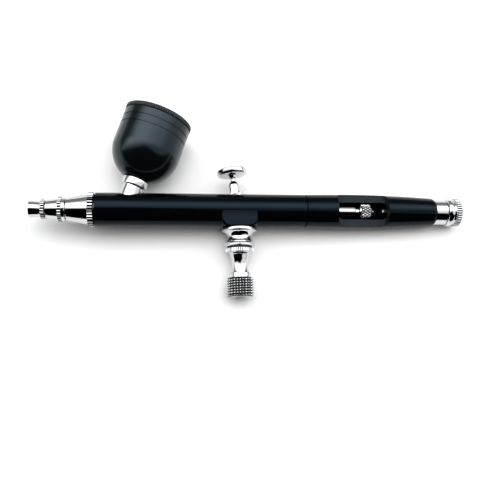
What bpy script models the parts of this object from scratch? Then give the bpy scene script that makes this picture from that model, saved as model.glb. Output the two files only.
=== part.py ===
"""Double-action gravity-feed airbrush, as its separate pieces.

Lengths below are in millimetres and are turned into metres by MM when a mesh is
made. The barrel lies along X, nozzle towards -X and tail towards +X. +Z points
up to the paint cup. The origin is where the air valve's axis crosses the barrel's.
"""
import math

import bmesh
import bpy
from mathutils import Matrix

MM = 0.001
GAP = 0.3  # clearance between pieces that touch
FINE = 0.15  # clearance of a needle, a rod or a packing

# Barrel and its finger block
BARREL_FRONT = -50.7
BARREL_REAR = 24.0
BARREL_R_FRONT = 6.0
BARREL_R_REAR = 6.08
SOCKET_R = 4.5  # front and rear sockets
SOCKET_DEPTH = 5.5
PAINT_BORE_R = 2.0
PACKING_BORE = (-31.5, -5.0)
PACKING_BORE_R = 2.5
CHAMBER_R = 3.6
BOSS_X = -0.35  # middle of the finger block along the barrel
BOSS_BOTTOM = -6.4
BOSS_HALF = 6.45
FLAT_Y = 5.95  # the block's two flat sides
SLOT = (-3.9, 9.0)
SLOT_HALF = 2.1

# Spray head, from the barrel forward
RING_R = 6.08
RING_LENGTH = 2.1
HEAD_REAR = BARREL_FRONT - GAP
HEAD_FRONT = -60.4
NOZZLE_CAP_REAR = HEAD_FRONT - GAP
NOZZLE_CAP_FRONT = -67.2
NEEDLE_CAP_REAR = NOZZLE_CAP_FRONT - GAP
NEEDLE_CAP_FRONT = -72.9
NOZZLE_TIP = -69.5

# Needle and what carries it
NEEDLE_R = 0.6
NEEDLE_BORE_R = NEEDLE_R + FINE
NEEDLE_TIP = -70.7
NEEDLE_TAIL = 50.6
GUIDE_FRONT = 4.05
GUIDE_FLANGE_R = 2.9
GUIDE_R = 2.05
GUIDE_REAR = 43.2
COLLET_R = 1.45
CHUCK = (44.8, 49.3)
CHUCK_R = 2.9
SPRING_CASE = (12.0, 35.8)
SPRING_CASE_R = 3.25

# Handle and preset stop
HANDLE_FRONT = BARREL_REAR + GAP
HANDLE_REAR = 73.3
HANDLE_BORE_R = 3.5
WINDOW = (39.1, 52.8)  # flat part of the window in the left side
RUN_OUT_FRONT = 3.4  # radius of its front end
RUN_OUT_REAR = 1.8  # radius of its rear end
STRIP_Y = 1.4  # depth of the window's flat from the centre plane
TAIL_SLEEVE = (HANDLE_REAR + GAP, 78.0)
TAIL_SLEEVE_R = 4.7
KNOB = (78.3, 83.6)
KNOB_R = 5.25
STOP_TIP = 53.6
STOP_R = 1.25

# Paint cup, on its own tilted axis; heights run along that axis
CUP_ROOT = -40.6
CUP_TILT = math.radians(19.0)
NECK_R = 3.75
COLLAR = (8.9, 11.4)
CUP_SEAT = COLLAR[0] - 1.0  # shoulder in the neck that the cup's seal sits on
COLLAR_R = 4.62
CUP_R = 12.15
CUP_BALL = 23.05  # height of the ball's centre
CUP_TOP = 34.8
CUP_WALL = 1.25
LID_R = 12.3
LID_TOP = 36.7

# Trigger and its lever, in the XZ plane
PIVOT_Z = -6.0
TRIGGER_LEAN = math.radians(6.5)
TRIGGER_HALF = 1.5
STEM_R = 1.95
PAD_R = 5.5
PAD_BASE = 19.25
LEVER_PIVOT = (3.0, -2.6)
LEVER_HALF = 1.5
NEEDLE_SLOT_HALF = 0.95

# Air valve, along Z, from the boss down to the inlet thread
VALVE_TOP = BOSS_BOTTOM - GAP
VALVE_BOTTOM = -13.3
VALVE_SPIGOT_R = 2.9
NIPPLE_TOP = VALVE_BOTTOM - 0.5
THREAD_R = 4.864  # G1/8
THREAD = (-24.6, -31.2)
INLET_BORE_R = 2.25

BLACK = ("black_anodised", (0.018, 0.022, 0.030), 0.32, 0.75)
CHROME = ("chrome", (0.80, 0.81, 0.83), 0.08, 1.0)
STEEL = ("stainless_steel", (0.62, 0.62, 0.62), 0.25, 1.0)
BRASS = ("brass", (0.72, 0.52, 0.24), 0.30, 1.0)
PTFE = ("white_ptfe", (0.85, 0.85, 0.83), 0.55, 0.0)
RUBBER = ("black_rubber", (0.02, 0.02, 0.02), 0.70, 0.0)

ALONG_X = Matrix.Rotation(math.radians(90.0), 4, "Y")
ALONG_Z = Matrix.Identity(4)
CUP_FRAME = Matrix.Translation((CUP_ROOT * MM, 0.0, 0.0)) @ Matrix.Rotation(CUP_TILT, 4, "Y")


def clear_scene():
    for item in list(bpy.data.objects):
        bpy.data.objects.remove(item, do_unlink=True)


def material(finish):
    name, colour, roughness, metallic = finish
    made = bpy.data.materials.get(name)
    if made is None:
        made = bpy.data.materials.new(name)
        made.use_nodes = True
        shader = made.node_tree.nodes["Principled BSDF"]
        shader.inputs["Base Color"].default_value = (*colour, 1.0)
        shader.inputs["Roughness"].default_value = roughness
        shader.inputs["Metallic"].default_value = metallic
    return made


def new_object(name, bm, finish, frame):
    """Closes up the bmesh, turns its faces outwards and makes an object of it."""
    bmesh.ops.remove_doubles(bm, verts=bm.verts, dist=1e-6)
    bmesh.ops.recalc_face_normals(bm, faces=bm.faces)
    if bm.calc_volume(signed=True) < 0.0:
        bmesh.ops.reverse_faces(bm, faces=bm.faces)
    mesh = bpy.data.meshes.new(name)
    bm.to_mesh(mesh)
    bm.free()
    mesh.shade_smooth()
    mesh.set_sharp_from_angle(angle=math.radians(35.0))
    piece = bpy.data.objects.new(name, mesh)
    piece.matrix_world = frame
    if finish is not None:
        mesh.materials.append(material(finish))
    bpy.context.scene.collection.objects.link(piece)
    return piece


def turned(name, profile, finish, frame, steps=20):
    """A lathe part. The profile is (height, radius) points around half the section.

    A profile that starts and ends at radius 0 is a solid bar, any other is a ring.
    """
    bm = bmesh.new()
    verts = [bm.verts.new((radius * MM, 0.0, height * MM)) for height, radius in profile]
    solid = profile[0][1] == 0 and profile[-1][1] == 0
    pairs = list(zip(verts, verts[1:]))
    if not solid:
        pairs.append((verts[-1], verts[0]))
    edges = [bm.edges.new(pair) for pair in pairs]
    bmesh.ops.spin(bm, geom=verts + edges, cent=(0, 0, 0), axis=(0, 0, 1),
                   angle=math.tau, steps=steps)
    return new_object(name, bm, finish, frame)


def ring(name, low, high, inner, outer, finish, frame, steps=16):
    return turned(name, [(low, inner), (low, outer), (high, outer), (high, inner)], finish, frame, steps)


def plate(name, outline, half_width, finish, frame=ALONG_Z):
    """An outline in the XZ plane, extruded to both sides along Y."""
    bm = bmesh.new()
    face = bm.faces.new([bm.verts.new((x * MM, -half_width * MM, z * MM)) for x, z in outline])
    grown = bmesh.ops.extrude_face_region(bm, geom=[face])
    moved = [item for item in grown["geom"] if isinstance(item, bmesh.types.BMVert)]
    bmesh.ops.translate(bm, verts=moved, vec=(0.0, 2 * half_width * MM, 0.0))
    return new_object(name, bm, finish, frame)


def arc(centre, radius, start, end, count):
    """Points of an arc, as (first, second) coordinates; angles in degrees."""
    points = []
    for i in range(count + 1):
        angle = math.radians(start + (end - start) * i / count)
        points.append((centre[0] + radius * math.cos(angle), centre[1] + radius * math.sin(angle)))
    return points


def block(name, low, high):
    """A plain box cutter from its two corners."""
    outline = [(low[0], low[2]), (high[0], low[2]), (high[0], high[2]), (low[0], high[2])]
    middle = Matrix.Translation((0.0, (low[1] + high[1]) / 2 * MM, 0.0))
    return plate(name, outline, (high[1] - low[1]) / 2, None, middle)


def rod(name, low, high, radius, frame, steps=20):
    seam = Matrix.Rotation(math.radians(4.0), 4, "Z")  # keeps its edges off other pieces' seams
    profile = [(low, 0), (low, radius), (high, radius), (high, 0)]
    return turned(name, profile, None, frame @ seam, steps)


def combine(piece, tools, operation="DIFFERENCE"):
    """Cuts or joins tool shapes, which stay in the scene as hidden guides."""
    for tool in tools:
        tool.hide_render = True
        tool.display_type = "WIRE"
        step = piece.modifiers.new(tool.name, "BOOLEAN")
        step.operation = operation
        step.solver = "EXACT"
        step.object = tool


def coil(name, radius, wire, start, end, turns, finish, frame):
    """A compression spring: a round wire on a helix, with closed ends."""
    per_turn = 8
    total = turns * per_turn
    curve = bpy.data.curves.new(name, "CURVE")
    curve.dimensions = "3D"
    curve.bevel_depth = wire * MM
    curve.bevel_resolution = 1
    curve.use_fill_caps = True
    spline = curve.splines.new("POLY")
    spline.points.add(total)
    for i, point in enumerate(spline.points):
        angle = math.tau * i / per_turn
        height = start + (end - start) * i / total
        place = (radius * math.cos(angle) * MM, radius * math.sin(angle) * MM, height * MM)
        point.co = (*place, 1.0)
    piece = bpy.data.objects.new(name, curve)
    piece.matrix_world = frame
    curve.materials.append(material(finish))
    bpy.context.scene.collection.objects.link(piece)
    return piece


# ---------------------------------------------------------------- barrel

def make_barrel():
    outer = [(BARREL_FRONT, 0), (BARREL_FRONT, BARREL_R_FRONT - 0.3),
             (BARREL_FRONT + 0.3, BARREL_R_FRONT), (BARREL_REAR, BARREL_R_REAR), (BARREL_REAR, 0)]
    barrel = turned("barrel", outer, BLACK, ALONG_X, 32)
    combine(barrel, [make_boss()], "UNION")
    reach = 20.0
    slot = block("slot_cut", (SLOT[0], -SLOT_HALF, 1.0), (SLOT[1], SLOT_HALF, reach))
    valve_hole = rod("valve_hole_cut", BOSS_BOTTOM - 2.0, -1.0, VALVE_SPIGOT_R + GAP, ALONG_Z)
    neck_hole = rod("neck_hole_cut", 3.4, reach, NECK_R + GAP, CUP_FRAME, 24)
    paint_hole = rod("paint_hole_cut", 0.0, 5.0, 2.2, CUP_FRAME)
    air_way = rod("air_way_cut", -46.5, -2.9, 0.5, air_way_frame(), 10)
    combine(barrel, [slot, valve_hole, neck_hole, barrel_core(), paint_hole, air_way])


def air_way_frame():
    """The drilled air passage, slightly tilted so that it clears the trigger chamber."""
    slope = Matrix.Rotation(math.radians(1.33), 4, "Y")
    return Matrix.Translation((0.0, 0.0, -4.68 * MM)) @ slope @ ALONG_X


def make_boss():
    """The finger block under the barrel: flat sides, and corners cut back towards its foot."""
    sections = [(BOSS_BOTTOM, BOSS_HALF - 0.25, 2.4), (BOSS_BOTTOM + 0.7, BOSS_HALF - 0.1, 1.3),
                (-3.2, BOSS_HALF, 0.4), (0.4, BOSS_HALF, 0.4)]
    bm = bmesh.new()
    loops = []
    for height, half, corner in sections:
        outline = []
        for turn, side_x, side_y in ((0, 1, 1), (90, -1, 1), (180, -1, -1), (270, 1, -1)):
            centre = (BOSS_X + side_x * (half - corner), side_y * (FLAT_Y - corner))
            outline += arc(centre, corner, turn, turn + 90, 3)
        loops.append([bm.verts.new((x * MM, y * MM, height * MM)) for x, y in outline])
    for low, high in zip(loops, loops[1:]):
        for i, vert in enumerate(low):
            after = (i + 1) % len(low)
            bm.faces.new((vert, low[after], high[after], high[i]))
    bm.faces.new(loops[0])
    bm.faces.new(loops[-1])
    return new_object("boss_guide", bm, None, ALONG_Z)


def barrel_core():
    """What is bored out of the barrel: sockets, paint way, packing seat and trigger chamber."""
    front = BARREL_FRONT + SOCKET_DEPTH
    profile = [
        (BARREL_FRONT - 1, 0), (BARREL_FRONT - 1, SOCKET_R), (front, SOCKET_R), (front, PAINT_BORE_R),
        (PACKING_BORE[0] - 1.5, PAINT_BORE_R), (PACKING_BORE[0] - 1.5, 1.1), (PACKING_BORE[0], 1.1),
        (PACKING_BORE[0], PACKING_BORE_R), (PACKING_BORE[1], PACKING_BORE_R), (PACKING_BORE[1], CHAMBER_R),
        (BARREL_REAR - SOCKET_DEPTH - 1, CHAMBER_R), (BARREL_REAR - SOCKET_DEPTH - 1, SOCKET_R),
        (BARREL_REAR + 1, SOCKET_R), (BARREL_REAR + 1, 0)]
    return turned("core_cut", profile, None, ALONG_X, 24)


def make_packing():
    low = PACKING_BORE[0] + GAP
    outer = PACKING_BORE_R - GAP
    ring("needle_packing", low, low + 2.5, NEEDLE_BORE_R, outer, PTFE, ALONG_X)
    screw = ring("packing_screw", low + 2.8, low + 7.0, NEEDLE_BORE_R, outer, BRASS, ALONG_X)
    combine(screw, [block("screw_slot_cut", (low + 6.2, -0.35, -5.0), (low + 8.0, 0.35, 5.0))])


# ---------------------------------------------------------------- spray head

def make_head():
    spigot = HEAD_REAR + SOCKET_DEPTH - 1.3
    outer = [(HEAD_FRONT - 2.5, 3.3), (HEAD_FRONT, 3.3), (HEAD_FRONT, 3.95), (HEAD_FRONT + 0.3, 4.1),
             (HEAD_REAR - RING_LENGTH, 5.4), (HEAD_REAR - RING_LENGTH, RING_R), (HEAD_REAR, RING_R),
             (HEAD_REAR, SOCKET_R - GAP), (spigot, SOCKET_R - GAP)]
    inner = [(spigot, 2.6), (HEAD_FRONT + 4.0, 2.6), (HEAD_FRONT + 4.0, 1.9), (HEAD_FRONT - 2.5, 1.9)]
    turned("head_body", outer + inner, CHROME, ALONG_X, 32)
    ring("head_seal", spigot + 0.2, spigot + 0.9, 2.3, 4.1, PTFE, ALONG_X)


def make_nozzle():
    rear = HEAD_FRONT + 3.6
    seat = HEAD_FRONT - 2.5
    outer = [(NOZZLE_TIP, 0.62), (NOZZLE_TIP + 1.3, 0.8), (seat - 1.5, 2.3), (seat - 1.3, 2.7),
             (seat - GAP, 2.7), (seat - GAP, 1.6), (rear, 1.6)]
    inner = [(rear, 1.1), (NOZZLE_TIP + 3.7, 1.1), (NOZZLE_TIP, 0.35)]
    turned("fluid_nozzle", outer + inner, BRASS, ALONG_X, 24)
    ring("nozzle_seal", rear + 0.1, rear + 0.4, 0.9, 1.7, PTFE, ALONG_X)


def make_nozzle_cap():
    front = NOZZLE_CAP_FRONT
    outer = [(front - 1.6, 2.3), (front, 2.3), (front, 3.3), (front + 4.0, 3.8), (front + 4.0, 4.45),
             (front + 5.4, 4.45), (front + 5.4, 4.2), (NOZZLE_CAP_REAR, 4.2)]
    inner = [(NOZZLE_CAP_REAR, 3.6), (front + 2.9, 3.6), (front + 2.6, 3.0), (front - 1.1, 1.25),
             (front - 1.6, 1.25)]
    turned("nozzle_cap", outer + inner, CHROME, ALONG_X, 24)


def make_needle_cap():
    front = NEEDLE_CAP_FRONT
    outer = [(front, 3.0), (front + 1.3, 2.88), (front + 2.6, 2.82), (front + 3.8, 2.85), (front + 3.9, 3.35),
             (NEEDLE_CAP_REAR, 3.35)]
    inner = [(NEEDLE_CAP_REAR, 2.6), (front + 3.8, 2.6), (front + 3.8, 1.5), (front + 2.4, 1.6),
             (front + 1.0, 2.1), (front, 2.6)]
    turned("needle_cap", outer + inner, CHROME, ALONG_X, 24)


# ---------------------------------------------------------------- paint cup

def make_cup_neck():
    outer = [(3.7, NECK_R), (COLLAR[0] - 0.8, NECK_R - 0.1), (COLLAR[0], NECK_R - 0.1), (COLLAR[0], COLLAR_R),
             (COLLAR[1], COLLAR_R)]
    inner = [(COLLAR[1], 3.4), (CUP_SEAT, 3.4), (CUP_SEAT, 2.1), (3.7, 2.1)]
    turned("cup_neck", outer + inner, CHROME, CUP_FRAME, 24)
    ring("cup_seal", CUP_SEAT + 0.2, CUP_SEAT + 1.0, 2.2, 3.15, PTFE, CUP_FRAME)


def make_cup_bowl():
    low = COLLAR[1] + GAP
    first = math.degrees(math.asin((low - CUP_BALL) / CUP_R))
    inner_r = CUP_R - CUP_WALL
    inner_low = CUP_BALL - math.sqrt(inner_r ** 2 - 2.2 ** 2)
    last = math.degrees(math.asin((inner_low - CUP_BALL) / inner_r))
    ball = [(h, r) for r, h in arc((0.0, CUP_BALL), CUP_R, first, 0.0, 8)]
    hollow = [(h, r) for r, h in arc((0.0, CUP_BALL), inner_r, 0.0, last, 6)]
    rim = [(CUP_TOP, CUP_R), (CUP_TOP, LID_R - 0.7), (LID_TOP - 1.0, LID_R - 0.7), (LID_TOP - 1.0, inner_r)]
    foot = CUP_SEAT + 1.3
    spigot = [(foot, 2.2), (foot, 3.1), (low, 3.1)]
    turned("cup_bowl", ball + rim + hollow + spigot, BLACK, CUP_FRAME, 32)


def make_cup_lid():
    skirt_in = LID_R - 0.7 + GAP
    low = CUP_TOP + GAP
    profile = [(low, skirt_in), (low, LID_R), (LID_TOP - 0.3, LID_R), (LID_TOP, LID_R - 0.3), (LID_TOP, 4.0),
               (LID_TOP + 0.4, 3.6), (LID_TOP + 0.4, 0.9), (LID_TOP - 0.7, 0.9), (LID_TOP - 0.7, skirt_in)]
    turned("cup_lid", profile, BLACK, CUP_FRAME, 32)


# ---------------------------------------------------------------- needle group

def make_needle():
    profile = [(NEEDLE_TIP, 0), (NEEDLE_TIP, 0.06), (NEEDLE_TIP + 3.0, 0.32), (NEEDLE_TIP + 7.0, NEEDLE_R),
               (NEEDLE_TAIL - 0.3, NEEDLE_R), (NEEDLE_TAIL, NEEDLE_R - 0.3), (NEEDLE_TAIL, 0)]
    turned("needle", profile, STEEL, ALONG_X, 12)


def make_needle_guide():
    flange = GUIDE_FRONT + 1.5
    collet = CHUCK[0] + 2.6
    outer = [(GUIDE_FRONT, GUIDE_FLANGE_R), (flange, GUIDE_FLANGE_R), (flange, GUIDE_R),
             (GUIDE_REAR, GUIDE_R), (GUIDE_REAR, COLLET_R), (collet - 1.0, COLLET_R), (collet, 1.1)]
    inner = [(collet, NEEDLE_BORE_R), (GUIDE_FRONT, NEEDLE_BORE_R)]
    turned("needle_guide", outer + inner, CHROME, ALONG_X)


def make_chuck_nut():
    low, high = CHUCK
    outer = [(low, CHUCK_R - 0.4), (low + 0.4, CHUCK_R), (high - 0.4, CHUCK_R), (high, CHUCK_R - 0.4)]
    inner = [(high, 0.9), (high - 1.2, 0.9), (high - 1.9, COLLET_R + GAP), (low, COLLET_R + GAP)]
    turned("chuck_nut", outer + inner, CHROME, ALONG_X)


def make_spring_case():
    low, high = SPRING_CASE
    collar = BARREL_REAR - SOCKET_DEPTH - 0.7
    outer = [(low, SPRING_CASE_R), (collar, SPRING_CASE_R), (collar, SOCKET_R - GAP),
             (collar + 1.8, SOCKET_R - GAP), (collar + 1.8, SPRING_CASE_R), (high, SPRING_CASE_R)]
    inner = [(high, GUIDE_R + GAP), (high - 1.2, GUIDE_R + GAP), (high - 1.2, 2.95), (low, 2.95)]
    turned("spring_case", outer + inner, CHROME, ALONG_X)


def make_needle_spring():
    start = GUIDE_FRONT + 1.5 + GAP
    coil("needle_spring", 2.46, 0.2, start + 0.2, SPRING_CASE[1] - 1.2 - GAP - 0.2, 11, STEEL, ALONG_X)


# ---------------------------------------------------------------- handle and stop

def handle_outer():
    tail = HANDLE_REAR
    return [(HANDLE_FRONT, BARREL_R_REAR + 0.02), (34.0, 6.2), (43.0, 6.28), (53.0, 6.12), (62.0, 5.78),
            (tail - 0.9, 5.28), (tail - 0.25, 5.12), (tail, 4.8)]


def make_handle():
    spigot = HANDLE_FRONT - 4.2
    outer = [(spigot, HANDLE_BORE_R), (spigot, SOCKET_R - GAP), (HANDLE_FRONT, SOCKET_R - GAP)]
    profile = outer + handle_outer() + [(HANDLE_REAR, HANDLE_BORE_R)]
    handle = turned("handle", profile, BLACK, ALONG_X, 32)
    combine(handle, [window_cutter("window_cut")])


def window_cutter(name):
    """A milling cut seen from above: flat in the middle, curving out at both ends."""
    low, high = WINDOW
    reach = 12.0
    start = arc((low, STRIP_Y + RUN_OUT_FRONT), RUN_OUT_FRONT, 180.0, 270.0, 5)
    end = arc((high, STRIP_Y + RUN_OUT_REAR), RUN_OUT_REAR, 270.0, 360.0, 4)
    outline = [(low - RUN_OUT_FRONT, reach)] + start + end + [(high + RUN_OUT_REAR, reach)]
    return plate(name, outline, reach, None, Matrix.Rotation(math.radians(90.0), 4, "X"))


def make_tail_sleeve():
    low, high = TAIL_SLEEVE
    inside = low - 9.0
    outer = [(inside, HANDLE_BORE_R - GAP), (low, HANDLE_BORE_R - GAP), (low, TAIL_SLEEVE_R),
             (high - 0.2, TAIL_SLEEVE_R), (high, TAIL_SLEEVE_R - 0.2)]
    groove = inside + 4.5
    bore = STOP_R + GAP
    groove_end = groove + 1.4
    inner = [(high, bore), (groove_end, bore), (groove_end, 2.4), (groove, 2.4), (groove, bore),
             (inside, bore)]
    turned("tail_sleeve", outer + inner, CHROME, ALONG_X, 24)
    ring("stop_seal", groove + 0.2, groove + 1.2, STOP_R + FINE, 2.2, RUBBER, ALONG_X)


def make_preset():
    low, high = KNOB
    rear = low + 3.6
    tip = STOP_TIP
    profile = [(tip, 0), (tip, STOP_R - 0.3), (tip + 0.3, STOP_R), (rear, STOP_R), (rear, 0)]
    turned("stop_rod", profile, STEEL, ALONG_X)
    bore = STOP_R + GAP
    bead = [(low, 4.5), (low + 0.25, 4.95), (low + 0.8, KNOB_R), (low + 1.6, KNOB_R), (low + 2.15, 4.95),
            (low + 2.4, 4.4)]
    rim = [(high - 2.3, 4.4), (high - 2.3, KNOB_R - 0.2), (high - 2.1, KNOB_R), (high - 0.3, KNOB_R),
           (high, KNOB_R - 0.3), (high, 0)]
    knob = bead + rim
    inside = [(rear + GAP, 0), (rear + GAP, bore), (low, bore)]
    turned("preset_knob", inside + knob, CHROME, ALONG_X, 24)


# ---------------------------------------------------------------- trigger and lever

def trigger_frame():
    pivot = Matrix.Translation((0.0, 0.0, PIVOT_Z * MM))
    return pivot @ Matrix.Rotation(-TRIGGER_LEAN, 4, "Y")


def make_trigger():
    """The stem stands on the plunger; heights here run up from the pivot along the stem."""
    frame = trigger_frame()
    left = [(-1.8, 12.5), (-1.8, 11.5), (-1.4, 9.0), (-1.2, 6.0), (-1.2, 3.0), (-1.1, 0.0)]
    foot = arc((0.0, 0.0), 1.1, 200.0, 340.0, 6)
    right = [(1.1, 0.6), (0.9, 3.0), (0.95, 6.0), (1.5, 9.0), (1.8, 11.5), (1.8, 12.5)]
    stem = plate("trigger_stem", left + foot + right, TRIGGER_HALF, CHROME, frame)
    shoulder = [(12.0, 0), (12.0, STEM_R), (15.6, STEM_R), (16.6, 1.4), (17.1, 0.8), (PAD_BASE + 0.2, 0.8),
                (PAD_BASE + 0.2, 0)]
    combine(stem, [turned("stem_guide", shoulder, None, frame, 24)], "UNION")
    half = NEEDLE_SLOT_HALF
    combine(stem, [block_in(frame, "needle_slot_cut", (-5.0, -half, 3.0), (5.0, half, 9.4))])


def block_in(frame, name, low, high):
    """A box cutter laid out in another frame."""
    cutter = block(name, low, high)
    cutter.matrix_world = frame @ cutter.matrix_world
    return cutter


def make_trigger_pad():
    hub = PAD_BASE - 0.9
    top = PAD_BASE + 3.1
    profile = [(hub, 1.05), (hub, 1.5), (PAD_BASE, 1.7), (PAD_BASE, PAD_R - 0.3), (PAD_BASE + 0.3, PAD_R),
               (PAD_BASE + 1.4, PAD_R), (PAD_BASE + 2.3, PAD_R - 0.6), (top - 0.2, 2.6), (top, 0),
               (PAD_BASE + 0.45, 0), (PAD_BASE + 0.45, 1.05)]
    start = profile.index((PAD_BASE + 0.45, 0))
    ordered = profile[start:] + profile[:start]
    turned("trigger_pad", ordered, CHROME, trigger_frame(), 24)


def make_lever():
    """A thin rocker behind the stem; its rounded foot turns on the chamber's floor."""
    x, z = LEVER_PIVOT
    foot = arc((x, z), 0.62, 180.0, 360.0, 6)
    back = [(3.5, -1.0), (2.7, 0.6), (3.6, 2.1), (3.75, 2.6), (3.5, 3.0), (2.1, 4.4), (2.2, 5.4), (2.9, 7.5),
            (2.7, 7.8)]
    front = [(2.2, 7.8), (1.25, 5.2), (1.2, 2.8), (2.0, -1.0)]
    outline = [(px - x, pz - z) for px, pz in foot + back + front]
    pivot = Matrix.Translation((x * MM, 0.0, z * MM))
    lever = plate("auxiliary_lever", outline, LEVER_HALF, STEEL, pivot)
    combine(lever, [block("lever_slot_cut", (-1.0, -NEEDLE_SLOT_HALF, -1.75), (6.0, NEEDLE_SLOT_HALF, 1.75))])


# ---------------------------------------------------------------- air valve

def make_valve_body():
    waist_z = -10.0
    waist = arc((waist_z, 6.7), 2.45, 345.0, 210.0, 6)
    outer = [(-4.9, 2.3), (-4.9, VALVE_SPIGOT_R), (VALVE_TOP, VALVE_SPIGOT_R), (VALVE_TOP, 6.2),
             (VALVE_TOP - 0.9, 6.2)]
    lower = [(VALVE_BOTTOM + 0.9, 5.35), (VALVE_BOTTOM, 5.35), (VALVE_BOTTOM, 3.2), (-11.4, 3.2)]
    inner = [(-11.4, 1.5), (-10.6, 1.5), (-10.6, 2.3)]
    turned("valve_body", outer + waist + lower + inner, CHROME, ALONG_Z, 28)
    ring("valve_packing", -12.6, -11.6, 1.2 + FINE, 2.9, PTFE, ALONG_Z)
    ring("inlet_seal", VALVE_BOTTOM - 0.4, VALVE_BOTTOM - 0.1, 3.2, 4.4, RUBBER, ALONG_Z, 24)


def make_inlet_nipple():
    top = NIPPLE_TOP
    outer = [(-12.9, 1.5), (-12.9, 2.9), (top, 2.9), (top, 5.0), (-15.85, 5.0), (-15.85, 4.2), (-16.3, 3.5),
             (-17.1, 3.3), (-18.3, 2.95), (-19.8, 2.8), (-21.4, 2.9), (-22.5, 3.1), (-22.7, 3.87),
             (-24.3, 3.87), (-24.3, 4.2), (THREAD[0], 4.2), (THREAD[0] - 0.3, THREAD_R),
             (THREAD[1] + 0.4, THREAD_R), (THREAD[1], THREAD_R - 0.5)]
    inner = [(THREAD[1], INLET_BORE_R), (-14.6, INLET_BORE_R), (-14.6, 1.5)]
    turned("inlet_nipple", outer + inner, CHROME, ALONG_Z, 24)


def make_valve_train():
    head = PIVOT_Z - 1.35
    profile = [(head, 0), (head, 1.9), (head - 0.75, 1.9), (head - 0.75, 1.2), (-15.0, 1.2), (-15.0, 0)]
    turned("valve_plunger", profile, BRASS, ALONG_Z, 24)
    poppet = [(-15.3, 0), (-15.3, 1.9), (-16.4, 1.9), (-16.4, 0.9), (-17.6, 0.9), (-17.6, 0)]
    turned("valve_poppet", poppet, BRASS, ALONG_Z, 24)
    ring("poppet_seal", -15.2, -14.85, 1.2 + FINE, 1.95, RUBBER, ALONG_Z)
    coil("valve_spring", 1.5, 0.2, -16.9, -23.8, 5, STEEL, ALONG_Z)
    screw = ring("valve_screw", -26.4, -24.3, 1.0, INLET_BORE_R - FINE, BRASS, ALONG_Z)
    combine(screw, [block("valve_screw_slot_cut", (-5.0, -0.35, -27.0), (5.0, 0.35, -25.8))])


clear_scene()
make_barrel()
make_packing()
make_head()
make_nozzle()
make_nozzle_cap()
make_needle_cap()
make_cup_neck()
make_cup_bowl()
make_cup_lid()
make_needle()
make_needle_guide()
make_chuck_nut()
make_spring_case()
make_needle_spring()
make_handle()
make_tail_sleeve()
make_preset()
make_trigger()
make_trigger_pad()
make_lever()
make_valve_body()
make_inlet_nipple()
make_valve_train()
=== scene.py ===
"""Looks of a double-action airbrush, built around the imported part.

Lengths below are in millimetres in the part's own frame: the barrel lies along X with
the nozzle towards -X, and +Z points up to the paint cup.
"""

import math

import bmesh
import bpy
import numpy as np
from mathutils import Matrix, Vector


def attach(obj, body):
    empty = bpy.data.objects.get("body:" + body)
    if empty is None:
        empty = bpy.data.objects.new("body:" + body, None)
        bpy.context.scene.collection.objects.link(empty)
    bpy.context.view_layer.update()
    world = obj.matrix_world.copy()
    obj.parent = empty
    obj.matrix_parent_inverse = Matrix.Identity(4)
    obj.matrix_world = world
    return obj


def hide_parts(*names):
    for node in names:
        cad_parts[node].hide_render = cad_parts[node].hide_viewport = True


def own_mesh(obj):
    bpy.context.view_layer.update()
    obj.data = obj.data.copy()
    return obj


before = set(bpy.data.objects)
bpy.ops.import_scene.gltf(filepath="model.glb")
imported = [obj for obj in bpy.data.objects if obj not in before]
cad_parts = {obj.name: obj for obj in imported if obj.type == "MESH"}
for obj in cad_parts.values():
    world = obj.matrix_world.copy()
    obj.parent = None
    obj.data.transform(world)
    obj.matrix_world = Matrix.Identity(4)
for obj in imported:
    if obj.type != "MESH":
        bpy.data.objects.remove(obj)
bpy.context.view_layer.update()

MM = 0.001
GAP = 0.3
TAU = math.tau

BARREL_FRONT = -50.7
BARREL_REAR = 24.0
BARREL_R_FRONT = 6.0
BARREL_R_REAR = 6.08
SOCKET_R = 4.5
SOCKET_DEPTH = 5.5
BOSS_X = -0.35
BOSS_BOTTOM = -6.4
BOSS_HALF = 6.45
FLAT_Y = 5.95

HEAD_REAR = BARREL_FRONT - GAP
HEAD_FRONT = -60.4
RING_R = 6.08
NOZZLE_CAP_REAR = HEAD_FRONT - GAP
NOZZLE_CAP_FRONT = -67.2
NEEDLE_CAP_REAR = NOZZLE_CAP_FRONT - GAP
NEEDLE_CAP_FRONT = -72.9
NOZZLE_TIP = -69.5
NEEDLE_TIP = -70.7
NEEDLE_TAIL = 50.6
GUIDE_FRONT = 4.05
GUIDE_REAR = 43.2
GUIDE_R = 2.05
COLLET_REAR = 47.4
CHUCK = (44.8, 49.3)
CHUCK_R = 2.9
SPRING_CASE = (12.0, 35.8)
SPRING_CASE_R = 3.25
SPRING_CASE_BORE = 2.95

HANDLE_FRONT = BARREL_REAR + GAP
HANDLE_REAR = 73.3
HANDLE_BORE_R = 3.5
WINDOW = (39.1, 52.8)
RUN_OUT_FRONT = 3.4
RUN_OUT_REAR = 1.8
STRIP_Y = 1.4
TAIL_SLEEVE = (73.6, 78.0)
TAIL_SLEEVE_R = 4.7
KNOB = (78.3, 83.6)
KNOB_R = 5.25
STOP_TIP = 53.6
STOP_R = 1.25
STOP_BORE = STOP_R + GAP

CUP_ROOT = -40.6
CUP_TILT = math.radians(19.0)
COLLAR = (8.9, 11.4)
COLLAR_R = 4.62
CUP_R = 12.15
CUP_BALL = 23.05
CUP_TOP = 34.8
CUP_WALL = 1.25
LID_R = 12.3
LID_TOP = 36.7

PIVOT_Z = -6.0
TRIGGER_LEAN = math.radians(6.5)
STEM_R = 1.95
PAD_R = 5.5
PAD_BASE = 19.25
LEVER_PIVOT = (3.0, -2.6)

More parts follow.
